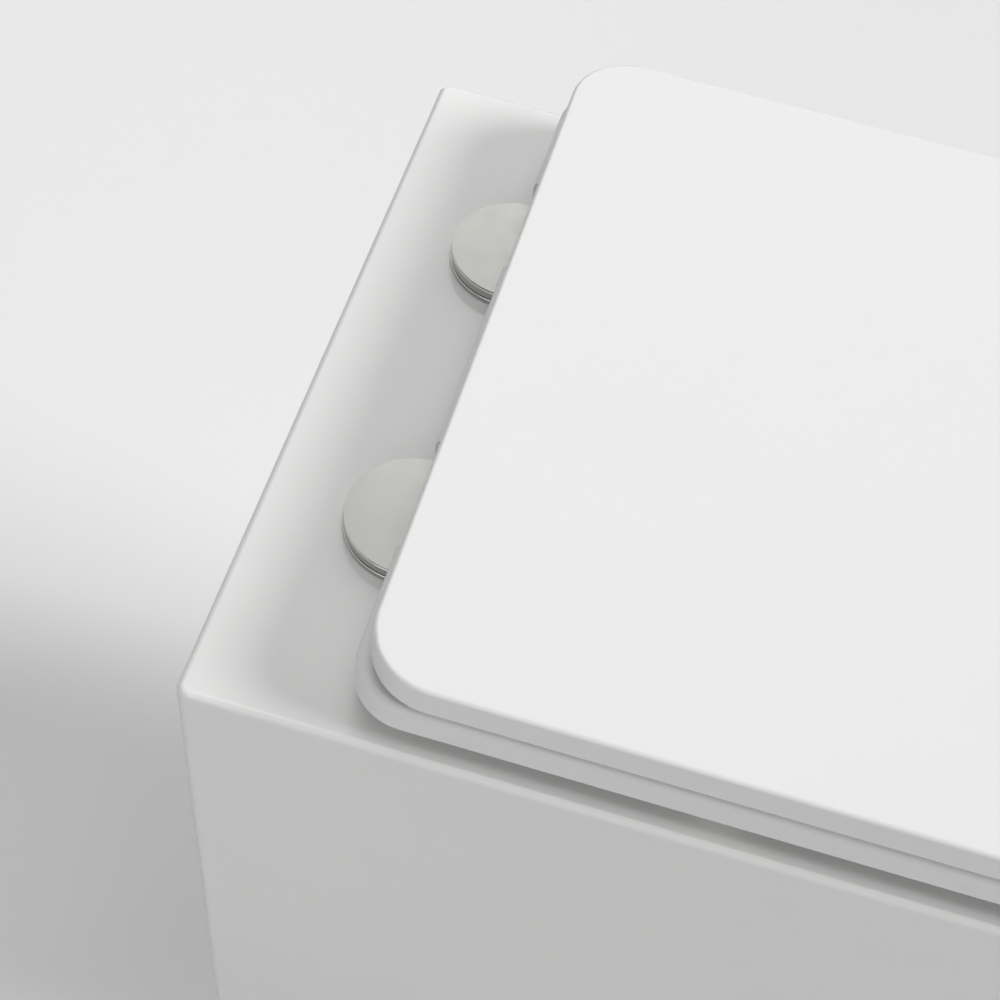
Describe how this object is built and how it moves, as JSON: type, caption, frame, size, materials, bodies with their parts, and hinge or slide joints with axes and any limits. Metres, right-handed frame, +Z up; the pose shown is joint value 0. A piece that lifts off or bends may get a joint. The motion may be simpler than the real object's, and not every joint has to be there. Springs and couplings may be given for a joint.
{
  "type": "wall hung toilet",
  "caption": "Wall hung rimless toilet pan in white glazed ceramic with a slim flat seat and lid on round chrome hinge discs.",
  "frame": {"origin": "on the wall plane, midway between the two stud holes", "axes": "+Y points into the wall and -Y to the toilet's front, +Z up, +X to the right as seen from the front"},
  "size_m": [0.3598, 0.54, 0.395],
  "materials": {
    "glaze": "white sanitary glaze, fired, glossy",
    "thermoset": "white moulded thermoset, smooth and polished",
    "chrome": "chrome plated, satin top and polished edge",
    "die_cast": "zinc die casting, silver lacquer",
    "steel": "stainless steel, turned",
    "brass": "turned brass",
    "rubber": "black moulded rubber, matt",
    "clear_rubber": "pale moulded rubber",
    "grey_plastic": "light grey moulded plastic"
  },
  "bodies": {
    "pan": {"ceramic_pan": "glaze", "flush_collar": "rubber", "flush_divider": "grey_plastic", "stud_sleeves": "grey_plastic", "stud_washers": "steel", "stud_nuts": "steel", "hinge_bolts": "steel", "hinge_dowels": "rubber", "dowel_nuts": "brass", "hinge_gasket_left": "rubber", "hinge_gasket_right": "rubber", "hinge_foot_left": "die_cast", "hinge_foot_right": "die_cast", "hinge_disc_left": "chrome", "hinge_disc_right": "chrome", "hinge_pin_left": "steel", "hinge_pin_right": "steel"},
    "seat": {"seat_ring": "thermoset", "seat_leaf_left": "die_cast", "seat_leaf_right": "die_cast", "seat_damper": "grey_plastic", "seat_bush": "grey_plastic", "seat_buffers": "clear_rubber", "seat_screws": "steel"},
    "lid": {"lid_cover": "thermoset", "lid_leaf_left": "die_cast", "lid_leaf_right": "die_cast", "lid_damper": "grey_plastic", "lid_bush": "grey_plastic", "lid_buffers": "clear_rubber", "lid_screws": "steel"}
  },
  "joints": [
    {"name": "seat_hinge", "type": "hinge", "parent": "pan", "child": "seat", "pos_m": [0, -0.0735, 0.113], "axis": [-1, 0, 0], "range_deg": [0, 95]},
    {"name": "lid_hinge", "type": "hinge", "parent": "seat", "child": "lid", "pos_m": [0, -0.0735, 0.113], "axis": [-1, 0, 0], "range_deg": [0, 95]}
  ]
}
